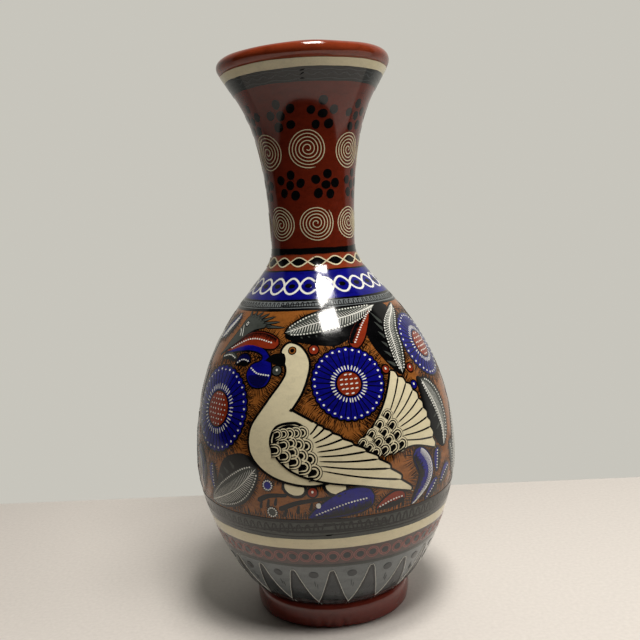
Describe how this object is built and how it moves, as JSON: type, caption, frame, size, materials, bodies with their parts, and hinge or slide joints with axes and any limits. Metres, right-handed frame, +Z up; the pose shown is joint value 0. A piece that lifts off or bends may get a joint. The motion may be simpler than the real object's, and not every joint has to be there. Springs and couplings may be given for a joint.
{
  "type": "pottery vase",
  "caption": "Round-bellied glazed earthenware vase with a foot ring, a long trumpet neck and a rolled lip, which stands on a table and holds flowers.",
  "frame": {"origin": "centre of the underside of the foot ring, on the surface the vase stands on", "axes": "+Z up along the vase's axis of rotation; -Y faces the main side of the painting"},
  "size_m": [0.19, 0.19, 0.398],
  "materials": {
    "foot_clay": "glazed red earthenware, worn at the edge",
    "bare_clay": "bare fired red earthenware, matt",
    "bowl_glaze": "grey slip under clear gloss glaze",
    "shoulder_glaze": "ochre slip ground under clear gloss glaze",
    "neck_glaze": "red-brown slip under clear gloss glaze",
    "lip_glaze": "terracotta under clear gloss glaze",
    "cream_slip": "cream slip under clear gloss glaze",
    "black_slip": "black slip under clear gloss glaze",
    "blue_slip": "ultramarine slip under clear gloss glaze",
    "grey_slip": "grey slip under clear gloss glaze",
    "red_slip": "red-brown slip under clear gloss glaze"
  },
  "bodies": {
    "root": {"foot_ring": "foot_clay", "floor_disc": "bare_clay", "lower_bowl": "bowl_glaze", "belly_seam_coil": "bare_clay", "shoulder_dome": "shoulder_glaze", "neck_seam_coil": "bare_clay", "neck_tube": "neck_glaze", "lip_coil": "lip_glaze"}
  },
  "joints": []
}
